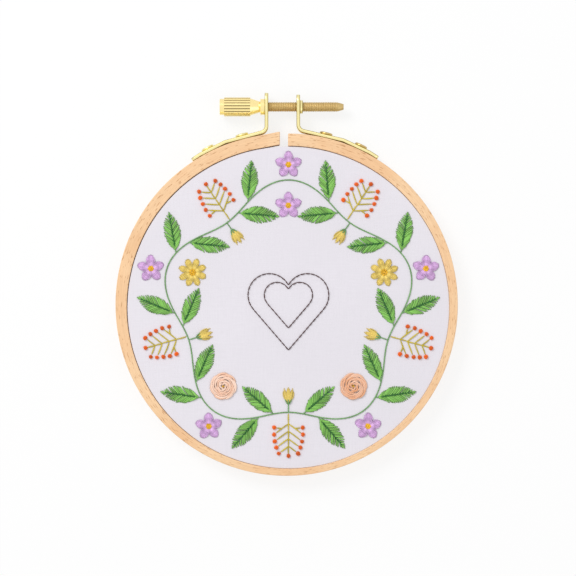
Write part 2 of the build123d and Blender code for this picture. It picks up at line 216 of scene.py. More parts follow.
def wood_material(name, colour, fleck_colour, joint_angle=None):
    """Sanded beech with flecks and pores, and the slanting line of a glued joint where it has one."""

    def surface(plan):
        grain, place = plan.node("ShaderNodeUVMap", {"uv_map": "grain"}), plan.place()
        streaks = plan.noise(grain, (60, 2600, 1), 3.0)
        clouds = plan.noise(place, 55, 3.0)
        fleck = plan.step(plan.noise(grain, (330, 2300, 1), 1.0), 0.61, 0.69)
        pores = plan.step(plan.noise(grain, (900, 9000, 1), 1.0), 0.62, 0.8)
        dark = shade(fleck_colour, 0.8)
        base = plan.mix(plan.step(streaks, 0.3, 0.75), shade(colour, 1.03), shade(colour, 0.9))
        base = plan.mix(plan.step(clouds, 0.35, 0.75) * 0.45, base, shade(fleck_colour, 1.12))
        base = plan.mix(fleck * 0.8, base, dark)
        base = plan.mix(pores * 0.25, base, dark)
        height = streaks * 0.5 - fleck * 0.5 - pores * 0.6
        if joint_angle is not None:
            slope, line_core, line_edge = 7.0, 0.3 * MM, 1.1 * MM
            values = {"Vector": place, "Angle": radians(joint_angle)}
            turned = plan.node("ShaderNodeVectorRotate", {"rotation_type": "Z_AXIS"}, values)
            across, along = plan.axes(turned)
            line = abs(along - (across - (cloth_radius - 3 * MM)) * slope)
            seam = (1 - plan.step(line, line_core, line_edge)) * plan.step(across, 0, 10 * MM)
            base = plan.mix(seam * 0.7, base, shade(fleck_colour, 0.45))
            height = height - seam
        return {
            "Base Color": base,
            "Roughness": streaks * 0.2 + 0.5,
            "Specular IOR Level": 0.3,
            "Normal": plan.bump(height, 0.35, 0.12 * MM),
        }

    return material(name, surface)


def cloth_material(name, colour):
    """Plain cotton: a fine weave with uneven yarns."""

    def surface(plan):
        yarn_pitch = 0.42 * MM
        place = plan.place()
        across, along = plan.axes(place)
        warp, weft = ((way * (2 * pi / yarn_pitch)).sine() * 0.5 + 0.5 for way in (across, along))
        slub_along = plan.noise(place, (2400, 130, 130), 2.0)
        slub_across = plan.noise(place, (130, 2400, 130), 2.0)
        slubs = slub_along * 0.5 + slub_across * 0.5
        soft = plan.noise(place, 28, 2.0)
        base = plan.mix(plan.step(slubs, 0.3, 0.7), shade(colour, 0.975), shade(colour, 1.02))
        base = plan.mix(plan.step(soft, 0.3, 0.7) * 0.35, base, shade(colour, 0.95))
        return {
            "Base Color": base,
            "Roughness": 0.85,
            "Specular IOR Level": 0.15,
            "Sheen Weight": 0.15,
            "Normal": plan.bump(warp * 0.12 + weft * 0.12 + slubs, 0.22, 0.1 * MM),
        }

    return material(name, surface)


def thread_material(name, colour, dark_share=0.55, sheen=0.25, dip_share=0.5, deep=None, deep_share=0.68):
    """Stranded cotton: twisted strands, with painted shade on their flanks, between the strands and where a
    stitch dips into the cloth.
    """
    strand_pitch, strands = 0.75 * MM, 3.0
    deep = shade(deep, 1.0) if deep else shade(colour, deep_share)
    dark = shade(colour, dark_share)

    def surface(plan):
        tone, share, along, around = (plan.attribute(label) for label in ("tone", "share", "along", "around"))
        flank = plan.step(plan.attribute("flank"), 0.5, 1.0)
        arch = 4.0 * share * (1 - share)
        ends = 1 - plan.step(arch, 0.0, dip_share)
        twist = ((along * (1 / strand_pitch) + around * strands) * (2 * pi)).sine() * 0.5 + 0.5
        base = plan.mix(tone, deep, shade(colour, 1.2))
        # Painted shade: darker where the stitch dips into the cloth, on its flanks and in the grooves between
        # the twisted strands.
        for wear_and_shade in (ends * 0.8, flank * 0.75, (1 - twist) * 0.2):
            base = plan.mix(wear_and_shade, base, dark)
        return {
            "Base Color": base,
            "Roughness": 0.5,
            "Specular IOR Level": 0.35,
            "Sheen Weight": sheen,
            "Normal": plan.bump(twist, 0.5, 0.08 * MM),
        }

    return material(name, surface)


def brass_material(name, colour, rough, wear):
    """Brass with drawn lines and duller, darker patches."""

    def surface(plan):
        place = plan.place()
        drawn = plan.noise(place, (150, 1600, 1600), 3.0)
        patches = plan.noise(place, 420, 3.0, 0.6)
        # The worn patches are real wear: duller, darker brass.
        wear_and_shade = plan.step(patches, 0.42, 0.78)
        base = plan.mix(wear_and_shade * wear, shade(colour, 1.0), shade(colour, 0.66))
        base = plan.mix(plan.step(drawn, 0.35, 0.7) * 0.2, base, shade(colour, 0.85))
        return {
            "Base Color": base,
            "Metallic": 1.0,
            "Roughness": rough + wear_and_shade * 0.12 + drawn * 0.08,
            "Normal": plan.bump(drawn * 0.6 + patches * 0.4, 0.12, 0.05 * MM),
        }

    return material(name, surface)


# Meshes
def linked(name, data):
    """A new object of the scene that shows some data."""
    piece = bpy.data.objects.new(name, data)
    bpy.context.collection.objects.link(piece)
    return piece


def smoothed(mesh):
    """The same mesh with smooth shading."""
    mesh.polygons.foreach_set("use_smooth", [True] * len(mesh.polygons))
    return mesh


def mesh_piece(name, points, faces, made, grain=None):
    """A smooth mesh piece from points in metres, with a grain map where its wood needs one."""
    mesh = bpy.data.meshes.new(name)
    mesh.from_pydata(points, [], faces)
    if grain:
        layer = mesh.uv_layers.new(name="grain")
        layer.data.foreach_set("uv", [value for spot in grain for value in spot])
    smoothed(mesh).materials.append(made)
    mesh.update()
    return linked(name, mesh)


def settle(piece):
    """Turns what a piece's modifiers show into its own plain mesh."""
    graph = bpy.context.evaluated_depsgraph_get()
    shown = piece.evaluated_get(graph)
    mesh = bpy.data.meshes.new_from_object(shown, preserve_all_data_layers=True, depsgraph=graph)
    old = piece.data
    piece.modifiers.clear()
    piece.data = mesh
    mesh.name = old.name
    if old.users == 0:
        bpy.data.meshes.remove(old)
    return piece


def bevelled(piece, width, segments=3, angle=35.0, painted_edge_shade=None):
    """Rounds a piece's edges, and gives the rounded faces a darker material of painted shade where one is
    given.
    """
    bevel = piece.modifiers.new("edges", "BEVEL")
    if painted_edge_shade:
        piece.data.materials.append(painted_edge_shade)
        bevel.material = len(piece.data.materials) - 1
        bevel.use_clamp_overlap = False
    bevel.width = width
    bevel.segments = segments
    bevel.limit_method = "ANGLE"
    bevel.angle_limit = radians(angle)
    bevel.harden_normals = True
    return settle(piece)


def turned_outwards(piece):
    """The same closed piece with all its faces turned outwards."""
    shell = bmesh.new()
    shell.from_mesh(piece.data)
    bmesh.ops.recalc_face_normals(shell, faces=shell.faces)
    shell.to_mesh(piece.data)
    shell.free()
    return piece


def tube_faces(rows, count, first=0, way=1, closed=False):
    """Faces between rows of points, where each row goes round and way -1 turns the faces over."""
    faces = []
    for i in range(rows if closed else rows - 1):
        near, far = first + i * count, first + (i + 1) % rows * count
        for j in range(count):
            k = (j + 1) % count
            faces.append((near + j, near + k, far + k, far + j)[::way])
    return faces


def swept(name, stations, height, wall, run, made, width, closed=False):
    """A four-sided strip through the stations of a path, with its grain along the path."""
    girth = [0, height, height + wall, 2 * height + wall, 2 * (height + wall)]
    count = len(girth) - 1
    points = [point for station in stations for point in station]
    faces, grain = tube_faces(len(stations), count, closed=closed), []
    for here, there in zip(run, run[1:]):
        for low, high in zip(girth, girth[1:]):
            grain += [(here, low), (here, high), (there, high), (there, low)]
    if not closed:
        end_scale = 8
        for first, order in ((0, -1), (len(points) - count, 1)):
            cap = tuple(range(first, first + count))[::order]
            faces.append(cap)
            grain += [(points[index][0] * end_scale, points[index][1] * end_scale) for index in cap]
    return bevelled(turned_outwards(mesh_piece(name, points, faces, made, grain)), width)


def turned_points(centre, profile, count):
    """Sections of a profile of (radius, height), turned about the upright line through a centre."""
    stations = []
    for i in range(count):
        turn = 2 * pi * i / count
        x, y = sin(turn), cos(turn)
        stations.append([(centre.x + r * x, centre.y + r * y, z) for r, z in profile])
    return stations


def cad_copy(node, made, width, segments=2, painted_edge_shade=None):
    """A merged copy of a CAD node, its flats free of inner edges, with softened edges."""
    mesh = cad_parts[node].data.copy()
    mesh.name = node + "_finished"
    mesh.materials.clear()
    mesh.materials.append(made)
    mesh.polygons.foreach_set("material_index", [0] * len(mesh.polygons))
    piece = linked(mesh.name, mesh)
    weld = piece.modifiers.new("weld", "WELD")
    weld.merge_threshold = 0.001 * MM
    flat = piece.modifiers.new("flat", "DECIMATE")
    flat.decimate_type = "DISSOLVE"
    flat.angle_limit = radians(0.5)
    smoothed(settle(piece).data)
    return bevelled(piece, width, segments, painted_edge_shade=painted_edge_shade)


def finished(piece, body, slot, *nodes):
    """The same piece in place of its CAD nodes, on their body. Its slot is not used."""
    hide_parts(*nodes)
    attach(piece, body)
    return piece


# Stitches
def open_tree(name, inputs, output):
    """The plan of a new tree with named inputs and one output of geometry, and its inputs' wires."""
    tree = bpy.data.node_groups.new(name, "GeometryNodeTree")
    for label, (kind, default) in inputs.items():
        socket = tree.interface.new_socket(label, in_out="INPUT", socket_type="NodeSocket" + kind)
        if default is not None:
            socket.default_value = default
    tree.interface.new_socket(output, in_out="OUTPUT", socket_type="NodeSocketGeometry")
    plan = Plan(tree)
    given = tree.nodes.new("NodeGroupInput")
    return plan, {socket.name: Wire(plan, socket) for socket in given.outputs}


def stitch_tree():
    """Each loose edge becomes one stitch: an arched, bowed thread with soft ends."""
    inputs = {
        "Stitches": ("Geometry", None),
        "Thread Scale": ("Float", 1.0),
        "Points": ("Int", 6),
        "Sides": ("Int", 6),
        "Thread": ("Material", None),
    }
    plan, wire = open_tree("stitches", inputs, "Threads")
    lift, bow, thick = (plan.kept(label) for label in ("lift", "bow", "thick"))
    curves = plan.node("GeometryNodeMeshToCurve", None, {"Mesh": wire["Stitches"]})
    curves = plan.node("GeometryNodeResampleCurve", None, {"Curve": curves, "Count": wire["Points"]})
    share = plan.share()
    curves = plan.keep(curves, share=share, along=share.other("Length"))
    arch = 4.0 * share * (1 - share)
    aside = plan.vector("CROSS_PRODUCT", {0: plan.node("GeometryNodeInputTangent"), 1: (0, 0, 1)})
    sideways = plan.vector("SCALE", {0: aside, "Scale": arch * bow})
    upwards = plan.node("ShaderNodeCombineXYZ", None, {"Z": arch**0.6 * lift})
    offset = plan.vector("ADD", {0: sideways, 1: upwards})
    curves = plan.node("GeometryNodeSetPosition", None, {"Geometry": curves, "Offset": offset})
    curves = plan.node("GeometryNodeSetCurveNormal", {"mode": "Z_UP"}, {"Curve": curves})
    turn = plan.share()
    # flank: how far round towards the thread's side a point lies, where the thread material paints shade.
    flank = abs((turn * (2 * pi) + pi / 2).sine())
    radius = thick * (0.6 + 0.4 * arch**0.4) * wire["Thread Scale"]
    return spun(plan, curves, wire["Sides"], radius, wire["Thread"], around=turn, flank=flank)


def knot_tree():
    """Each point becomes a coiled knot, turned and sized at random."""
    inputs = {
        "Places": ("Geometry", None),
        "Thread Radius": ("Float", 0.27 * MM),
        "Coils": ("Float", 2.3),
        "Coil Points": ("Int", 12),
        "Foot Radius": ("Float", 0.62 * MM),
        "Top Radius": ("Float", 0.12 * MM),
        "Height": ("Float", 0.42 * MM),
        "Sides": ("Int", 7),
        "Seed": ("Int", 4),
        "Thread": ("Material", None),
    }
    plan, wire = open_tree("knots", inputs, "Knots")
    sizes = {
        "Resolution": wire["Coil Points"],
        "Rotations": wire["Coils"],
        "Start Radius": wire["Foot Radius"],
        "End Radius": wire["Top Radius"],
        "Height": wire["Height"],
    }
    coil = plan.node("GeometryNodeCurveSpiral", None, sizes)
    share = plan.share()
    coil = plan.keep(coil, share=0.3 + share * 0.4, along=share.other("Length"))
    chance = {"data_type": "FLOAT"}
    spin, spread = (
        plan.node("FunctionNodeRandomValue", chance, {2: low, 3: high, "Seed": wire["Seed"]}, 1)
        for low, high in ((0.0, 2 * pi), (0.92, 1.08))
    )
    turned = plan.node("ShaderNodeCombineXYZ", None, {"Z": spin})
    knots = {"Points": wire["Places"], "Rotation": turned, "Scale": plan.kept("size") * spread}
    radius, thread = wire["Thread Radius"], wire["Thread"]
    return spun(plan, coil, wire["Sides"], radius, thread, knots, around=plan.share())


def spun(plan, curve, sides, radius, thread, places=None, **facts):
    """Ends a tree with thread along its curve, laid at each place where there are places."""
    circle = plan.node("GeometryNodeCurvePrimitiveCircle", None, {"Resolution": sides, "Radius": 1.0})
    circle = plan.keep(circle, **facts)
    values = {"Curve": curve, "Profile Curve": circle, "Scale": radius, "Fill Caps": True}
    pieces = plan.node("GeometryNodeCurveToMesh", None, values)
    if places:
        pieces = plan.node("GeometryNodeInstanceOnPoints", None, {"Instance": pieces, **places})
    plain = plan.node("GeometryNodeRealizeInstances", None, {"Geometry": pieces})
    smooth = plan.node("GeometryNodeSetShadeSmooth", None, {"Geometry": plain})
    dressed = plan.node("GeometryNodeSetMaterial", None, {"Geometry": smooth, "Material": thread})
    plan.node("NodeGroupOutput", None, {0: dressed})
    return plan.tree


class Needlework:
    """Stitches, or knots, gathered on the cloth in millimetres from its centre."""

    def __init__(self, name, seed):
        self.name = name
        self.chance = random.Random(seed)
        self.points, self.edges = [], []
        self.facts = {label: [] for label in ("lift", "bow", "thick", "tone", "size")}

    def point(self, spot, height, facts):
        at = Vector((spot[0], spot[1])) * MM
        self.points.append((cloth_centre.x + at.x, cloth_centre.y + at.y, cloth_top + height * MM))
        for label, values in self.facts.items():
            values.append(facts.get(label, 0.0))

    def stitch(self, start, end, lift=0.3, bow=0.0, thick=0.25, tone=None, low=(0.06, 0.06)):
        """One stitch between two spots, at the heights in low, that rises by its lift between them."""
        shown = self.chance.uniform(0.15, 0.85) if tone is None else tone
        facts = {"lift": lift * MM, "bow": bow * MM, "thick": thick * MM, "tone": shown}
        self.point(start, low[0], facts)
        self.point(end, low[1], facts)
        self.edges.append((len(self.points) - 2, len(self.points) - 1))

    def knot(self, spot, size, height=0.22):
        self.point(spot, height, {"size": size, "tone": self.chance.uniform(0.15, 0.85)})

    def sewn(self, node, slot, made, make_tree=stitch_tree, **inputs):
        """The finished threads, in place of their plain CAD node."""
        mesh = bpy.data.meshes.new(self.name)
        mesh.from_pydata(self.points, self.edges, [])
        for label, values in self.facts.items():
            layer = mesh.attributes.new(label, "FLOAT", "POINT")
            layer.data.foreach_set("value", values)
        piece = linked(self.name, mesh)
        modifier = piece.modifiers.new("needlework", "NODES")
        modifier.node_group = tree = make_tree()
        inputs.update({"Thread": made, "Thread Scale": bpy.context.scene.wreath.thread_scale})
        for socket in tree.interface.items_tree:
            if socket.in_out == "INPUT" and socket.name in inputs:
                modifier[socket.identifier] = inputs[socket.name]
        settle(piece)
        bpy.data.node_groups.remove(tree)
        return finished(piece, "inner_frame", slot, node)


def on_rim(angle, radius, side=1):
    """A place seen from the cloth's centre, by its angle from the top towards one side."""
    return Vector((side * radius * sin(radians(angle)), radius * cos(radians(angle))))


class Place:
    """A spot on the cloth and the direction that a motif points in there."""

    def __init__(self, at, aim):
        self.at, self.aim = at, radians(aim)

    def out(self, along, across=0.0):
        """A spot some way along the motif's direction and across it to the left."""
        c, s = cos(self.aim), sin(self.aim)
        return self.at + Vector((along * c - across * s, along * s + across * c))


def vine_point(angle, drift=0.0):
    """A point of the wavy vine, moved outwards by a drift."""
    sizes = bpy.context.scene.wreath
    wave = cos(radians(sizes.waves * angle))
    return on_rim(angle, (sizes.vine_radius + sizes.vine_wave * wave) / MM + drift)


def vine_heading(angle):
    """The vine's own direction at an angle, in degrees."""
    run = vine_point(angle - 0.2) - vine_point(angle + 0.2)
    return degrees(atan2(run.y, run.x))


def leaf_places():
    """Places of the leaves, two beside each bend of the vine and their mirror images."""
    sizes = bpy.context.scene.wreath
    half_wave, vine_gap = 180 / sizes.waves, 1.3
    places = []
    for node in range(sizes.waves):
        bend = 1 if node % 2 == 0 else -1
        for share, turn in ((0.583, -bend * 38.0), (0.78, bend * 52.0)):
            angle = (node + share) * half_wave
            aim = vine_heading(angle) + turn
            start = vine_point(angle) + Vector((cos(radians(aim)), sin(radians(aim)))) * vine_gap
            places.append(Place(start, aim))
            places.append(Place(Vector((-start.x, start.y)), 180 - aim))
    return places


# Shares of the half wave, counted from the top, and a radius in millimetres, for each ring of a motif
MOTIF_RINGS = {
    "lilac": (((0,), 40.85), ((0, 2.06, 4.06), 57.2)),
    "daisy": (((1.94,), 40.85),),
    "wheel": (((3.9,), 40.85),),
    "bud": (((1, 3, 5), 38.4),),
    "sprig": (((0.94, 2.94, 5), 41.9),),
}


def motif_places(kind):
    """Places on both sides of the top, at shares of the vine's half wave, that face outwards."""
    half_wave = 180 / bpy.context.scene.wreath.waves
    places = []
    for shares, radius in MOTIF_RINGS[kind]:
        for share in shares:
            angle = share * half_wave
            for side in (1,) if angle % 180 == 0 else (1, -1):
                places.append(Place(on_rim(angle, radius, side), 90 - side * angle))
    return places


def half_width(along, reach, width):
    """Half the width of a pointed oval of two arcs, at a distance from its base."""
    bow = (reach**2 / 4 + width**2 / 4) / width
    return max(sqrt(max(bow**2 - (along - reach / 2) ** 2, 0)) - bow + width / 2, 0)


def heart_paths():
    """The right half of each heart outline, from its tip up round the lobe to the cleft."""
    lobe_x, lobe, tip, rise = 7.6, 8.6, 22.0, 5.0
    side_steps, lobe_steps = 60, 90
    span = hypot(lobe_x, tip)
    aim = atan2(tip, lobe_x) - asin(lobe / span)
    run = sqrt(span**2 - lobe**2)
    side_end = Vector((run * cos(aim), run * sin(aim) - tip))
    cleft_turn = atan2(sqrt(lobe**2 - lobe_x**2), -lobe_x)
    side_turn = atan2(side_end.y, side_end.x - lobe_x)
    line = [Vector((0, -tip)).lerp(side_end, i / side_steps) for i in range(side_steps + 1)]
    for i in range(1, lobe_steps + 1):
        turn = side_turn + (cleft_turn - side_turn) * i / lobe_steps
        line.append(Vector((lobe_x + lobe * cos(turn), lobe * sin(turn))))
    return [[point * share + Vector((0, rise)) for point in line] for share in (1.0, 0.6)]


def dashes(line, dash, gap):
    """Start and end points of even stitches along a line of points."""
    marks = [0.0]
    for a, b in zip(line, line[1:]):
        marks.append(marks[-1] + (b - a).length)
    count = max(1, round(marks[-1] / (dash + gap)))
    pitch = marks[-1] / count

    def at(run):
        for i in range(1, len(marks)):
            if run <= marks[i] or i == len(marks) - 1:
                step = marks[i] - marks[i - 1] or 1.0
                return line[i - 1].lerp(line[i], (run - marks[i - 1]) / step)

    return [(at(i * pitch + gap / 2), at((i + 1) * pitch - gap / 2)) for i in range(count)]


# Sizes and colours
def colour(name, description, red, green, blue):
    return FloatVectorProperty(
        name=name,
        description=description,
        default=rgb(red, green, blue),
        subtype="COLOR",
        size=3,
        min=0,
        max=1,
    )


def length(name, description, default):
    return FloatProperty(
        name=name,
        description=description,
        default=default,
        min=0,
        precision=5,
        subtype="DISTANCE",
        unit="LENGTH",
    )


class HoopSizes(PropertyGroup):
    """Sizes of the wood and the clamp."""

    rim_round: length("Rim rounding", "Radius worn onto the outer ring's rims", 0.3 * MM)
    inner_round: length("Inner rounding", "Radius on the inner ring's edges", 0.5 * MM)
    cloth_fold: length("Cloth fold", "Radius of the cloth's turn over the inner ring", 0.22 * MM)
    cloth_swell: length("Cloth swell", "How far the gripped cloth bulges towards the outer ring", 0.1 * MM)
    thread_pitch: length("Thread pitch", "Pitch of the screw's thread", 0.7 * MM)
    thread_depth: length("Thread depth", "Depth of the screw's thread", 0.3 * MM)
    strip_edge: length("Strip edges", "Rounding of the bracket strips' edges", 0.24 * MM)
    rivet_dome: length("Rivet domes", "Rounding of the rivet heads' edges", 0.45 * MM)
    knob_grooves: IntProperty(name="Knob grooves", description="Grooves round the knob", default=20, min=3)
    knob_edge: length("Knob edges", "Rounding of the knob's ridges", 0.05 * MM)


class WreathSizes(PropertyGroup):
    """Sizes of the embroidery."""

    vine_radius: length("Vine radius", "Mean radius of the wavy vine", 46.5 * MM)
    vine_wave: length("Vine wave", "How far the vine swings in and out", 4.6 * MM)
    waves: IntProperty(name="Waves", description="Waves of the vine round the cloth", default=5, min=1)
    leaf_length: length("Leaf length", "Length of a leaf", 15.0 * MM)
    leaf_width: length("Leaf width", "Width of a leaf", 6.4 * MM)
    leaf_rows: IntProperty(
        name="Leaf rows", description="Stitches along each side of a leaf", default=20, min=4
    )
    thread_scale: FloatProperty(
        name="Thread scale", description="Thickness of all threads", default=1.0, min=0.1, subtype="FACTOR"
    )


class HoopColours(PropertyGroup):
    """Colours of the wood, metal, cloth and threads."""

    wood: colour("Wood", "Sanded beech", 251, 212, 168)
    fleck: colour("Flecks", "Darker flecks in the beech", 222, 166, 116)
    cloth: colour("Cloth", "White cotton", 233, 229, 236)
    strip: colour("Strip brass", "Pale stamped brass", 246, 233, 172)
    # Cut brass is painted shade: the dark reflection along the strips' rounded edges.
    cut: colour("Cut brass", "Darker edges of the strips", 176, 158, 86)
    # Groove brass is painted shade for the recesses of the knob's grooves.
    knob: colour("Knob brass", "Bright turned brass", 255, 234, 166)
    groove_shade: colour("Groove brass", "Darker grooves of the knob", 176, 146, 76)
    rod: colour("Rod brass", "Darker rolled thread", 206, 180, 124)
    green: colour("Green thread", "Leaves", 146, 214, 100)
    stem: colour("Stem thread", "Vine", 124, 176, 108)
    dark_green: colour("Dark green thread", "Veins", 40, 118, 50)
    lilac: colour("Lilac thread", "Blossoms", 236, 190, 244)
    yellow: colour("Yellow thread", "Daisies and buds", 255, 224, 116)
    peach: colour("Peach thread", "Wheel blossoms", 244, 214, 196)
    deep_peach: colour("Deep peach thread", "Darker strands of the wheel blossoms", 240, 164, 108)
    olive: colour("Olive thread", "Sprig stems", 216, 194, 46)
    orange: colour("Orange thread", "Berries", 240, 100, 0)
    amber: colour("Amber thread", "Blossom centres", 252, 198, 46)
    brown: colour("Brown thread", "Heart outlines", 88, 58, 58)


# Wood and cloth
class HOOP_OT_outer_ring(Operator):
    """Build the outer ring, one bent strip"""

    bl_idname = "hoop.outer_ring"
    bl_label = "Outer Ring"

    def execute(self, context):
        sizes, colours = context.scene.hoop, context.scene.hoop_colours
        left_low, left_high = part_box("outer_ring_left")
        radius, height, wall = -left_low.x, left_high.z, 3.9 * MM
        # The left end runs straight from 11 degrees beside the top, and the bore stands off-centre.
        bore_centre = Vector((0.58 * MM, -1.07 * MM))
        end_left, end_right = -2.75 * MM, 0.53 * MM
        sprung, straight_steps, round_steps = 11.0, 8, 356

        rims = []
        for r, centre in ((radius, Vector((0, 0))), (radius - wall, bore_centre)):
            start = centre + on_rim(sprung, r, -1)
            straight = (end_left - start.x) / cos(radians(sprung))
            end = start + Vector((cos(radians(sprung)), sin(radians(sprung)))) * straight
            turn = 360 - degrees(asin((end_right - centre.x) / r)) - sprung
            rim = [end.lerp(start, i / straight_steps) for i in range(straight_steps)]
            for i in range(round_steps + 1):
                rim.append(centre + on_rim(sprung + turn * i / round_steps, r, -1))
            rims.append(rim)
        stations = []
        for outside, inside in zip(*rims):
            corners = ((outside, 0), (outside, height), (inside, height), (inside, 0))
            stations.append([(spot.x, spot.y, z) for spot, z in corners])
        run = [0.0]
        for here, there in zip(rims[0], rims[0][1:]):
            run.append(run[-1] + (there - here).length)
        made = wood_material("beech_outer", colours.wood, colours.fleck)
        ring = swept("outer_ring_beech", stations, height, wall, run, made, sizes.rim_round)

        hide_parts("outer_ring_left", "outer_ring_right")
        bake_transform(ring)
        return {"FINISHED"}


class HOOP_OT_inner_ring(Operator):
    """Build the inner ring, which the cloth is stretched over"""

    bl_idname = "hoop.inner_ring"
    bl_label = "Inner Ring"

    def execute(self, context):
        sizes, colours = context.scene.hoop, context.scene.hoop_colours
        low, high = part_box("inner_ring")
        centre = (low + high) / 2
        radius, height, wall = (high.x - low.x) / 2, high.z, 4 * MM
        count, joint_angle = 300, 55
        profile = [(radius, 0), (radius, height), (radius - wall, height), (radius - wall, 0)]
        stations = turned_points(centre, profile, count)
        run = [2 * pi * radius * i / count for i in range(count + 1)]
        made = wood_material("beech_inner", colours.wood, colours.fleck, joint_angle)
        ring = swept("inner_ring_beech", stations, height, wall, run, made, sizes.inner_round, closed=True)
        finished(ring, "inner_frame", "beech", "inner_ring")
        return {"FINISHED"}


class HOOP_OT_cloth(Operator):
    """Stretch the cloth over the inner ring and turn its edge down between the rings"""

    bl_idname = "hoop.cloth"
    bl_label = "Cloth"

    def execute(self, context):
        sizes, colours = context.scene.hoop, context.scene.hoop_colours
        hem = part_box("cloth_edge")[0].z
        fold, thin = sizes.cloth_fold, cloth_thickness
        grip = cloth_radius + sizes.cloth_swell
        count, front_rows, fold_rows = 288, 60, 6
        pucker_count, pucker_height = 46, 0.05
        calm_edge, least_fold = 0.5 * MM, 0.05 * MM
        chance = random.Random(11)
        puckers = []
        for _ in range(pucker_count):
            spot = on_rim(chance.uniform(0, 360), chance.uniform(30, 60))
            puckers.append((spot, chance.uniform(4, 9)))

        def give(x, y):
            """A faint rise and dip of the cloth round the stitching."""
            rise = 0.0
            for spot, reach in puckers:
                share = (Vector((x, y)) / MM - spot).length / reach
                if share < 1:
                    rise += (1 - share) ** 2 * (3 * share - 1)
            return rise * pucker_height * MM

        def half_section(edge, bend, top):
            """The radius and height of each row of one face, from the hem over the fold to the middle."""
            rows = [(edge, hem), (edge, (cloth_top + hem) / 2)]
            for i in range(fold_rows + 1):
                turn = radians(90 * i / fold_rows)
                rows.append((grip - fold + bend * cos(turn), cloth_top - fold + bend * sin(turn)))
            for i in range(1, front_rows):
                rows.append((grip - fold - (grip - fold) * i / front_rows, top))
            return rows

        upper = half_section(grip, fold, cloth_top)
        lower = half_section(grip - thin, max(fold - thin, least_fold), cloth_top - thin)
        points = []
        for radius, height in upper + lower:
            for i in range(count):
                turn = 2 * pi * i / count
                x, y = radius * sin(turn), radius * cos(turn)
                rise = give(x, y) if radius < cloth_radius - calm_edge else 0.0
                points.append((cloth_centre.x + x, cloth_centre.y + y, height + rise))
        half = len(upper) * count
        points += [(cloth_centre.x, cloth_centre.y, top) for top in (cloth_top, cloth_top - thin)]
        rounds = [(i, (i + 1) % count) for i in range(count)]
        faces = []
        for first, pole, way in ((0, 2 * half, -1), (half, 2 * half + 1, 1)):
            faces += tube_faces(len(upper), count, first, way)
            last = first + half - count
            faces += [(last + i, last + k, pole)[::way] for i, k in rounds]
        faces += [(i, k, half + k, half + i) for i, k in rounds]
        cloth = mesh_piece("cloth", points, faces, cloth_material("cotton", colours.cloth))
        finished(cloth, "inner_frame", "cotton", "cloth_front", "cloth_edge")
        return {"FINISHED"}


# Clamp
class HOOP_OT_brackets(Operator):
    """Finish the two strip brackets and their rivets in stamped brass"""

    bl_idname = "hoop.brackets"
    bl_label = "Brackets"

    def execute(self, context):
        sizes, colours = context.scene.hoop, context.scene.hoop_colours
        strip = brass_material("brass_strip", colours.strip, 0.3, 0.45)
        # The darker edge brass is painted shade for the strips' rounded edges.
        cut = brass_material("brass_strip_painted_edge_shade", colours.cut, 0.35, 0.5)
        # The right rivets take the darker rod brass as painted shade for heads that face away from the key
        # lamp; the left ones keep the pale strip brass.
        for side, tint, wear in (("left", colours.strip, 0.6), ("right", colours.rod, 0.3)):
            body, bracket, rivets = side + "_half", side + "_bracket", side + "_rivets"
            piece = cad_copy(bracket, strip, sizes.strip_edge, painted_edge_shade=cut)
            finished(piece, body, "strip_brass", bracket)
            rivet = brass_material("brass_rivet_" + side, tint, 0.3, wear)
            piece = cad_copy(rivets, rivet, sizes.rivet_dome, 3)
            finished(piece, body, "strip_brass", rivets)
        return {"FINISHED"}


def beside_screw(x, radius, turn):
    """A point at a radius from the screw's line, which runs along X."""
    return x, screw_axis.y + radius * cos(turn), screw_axis.z + radius * sin(turn)


class HOOP_OT_thumb_knob(Operator):
    """Turn the knob, mill its grooves and saw its driver slot"""

    bl_idname = "hoop.thumb_knob"
    bl_label = "Thumb Knob"

    def execute(self, context):
        sizes, colours = context.scene.hoop, context.scene.hoop_colours
        low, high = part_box("thumb_knob")
        barrel, core, groove_depth = 3.8 * MM, 3.45 * MM, 0.4 * MM
        flange, neck, boss = 3.2 * MM, 2.1 * MM, 3.25 * MM
        flange_end, cone_end, boss_end = high.x - 1.7 * MM, high.x - 5.8 * MM, low.x + 1.8 * MM
        profile = [
            (high.x, flange, False),
            (flange_end, flange, False),
            (flange_end, neck, False),
            (cone_end, core, False),
            (cone_end, barrel, True),
            (boss_end, barrel, True),
            (boss_end, boss, False),
            (low.x, boss, False),
        ]
        barrel_row = 4
        ridge = ((0.0, False), (0.25, False), (0.5, False), (0.74, False), (0.87, True))
        turns = []
        for i in range(sizes.knob_grooves):
            turns += [(2 * pi * (i + share) / sizes.knob_grooves, cut) for share, cut in ridge]
        points = []
        for x, radius, milled in profile:
            for turn, cut in turns:
                points.append(beside_screw(x, radius - groove_depth * (milled and cut), turn))
        count = len(turns)
        faces = [tuple(range(count)), tuple(range(len(points) - count, len(points)))[::-1]]
        caps = len(faces)
        faces += tube_faces(len(profile), count, way=-1)
        made = brass_material("brass_knob", colours.knob, 0.22, 0.2)
        knob = mesh_piece("thumb_knob_turned", points, faces, made)
        # The groove floors take the darker brass as painted shade for their recesses.
        knob.data.materials.append(brass_material("brass_groove_painted_shade", colours.groove_shade, 0.3, 0.3))
        first = caps + barrel_row * count
        for i, face in enumerate(knob.data.polygons[first : first + count]):
            if turns[i][1] or turns[(i + 1) % count][1]:
                face.material_index = 1
        slot = mesh_piece("slot_cutter", *slot_block(low.x), made)
        saw = knob.modifiers.new("slot", "BOOLEAN")
        saw.object, saw.operation, saw.solver = slot, "DIFFERENCE", "EXACT"
        smoothed(settle(knob).data)
        bpy.data.objects.remove(slot)
        bevelled(knob, sizes.knob_edge, 2, 30.0)
        finished(knob, "screw", "knob_brass", "thumb_knob")
        return {"FINISHED"}


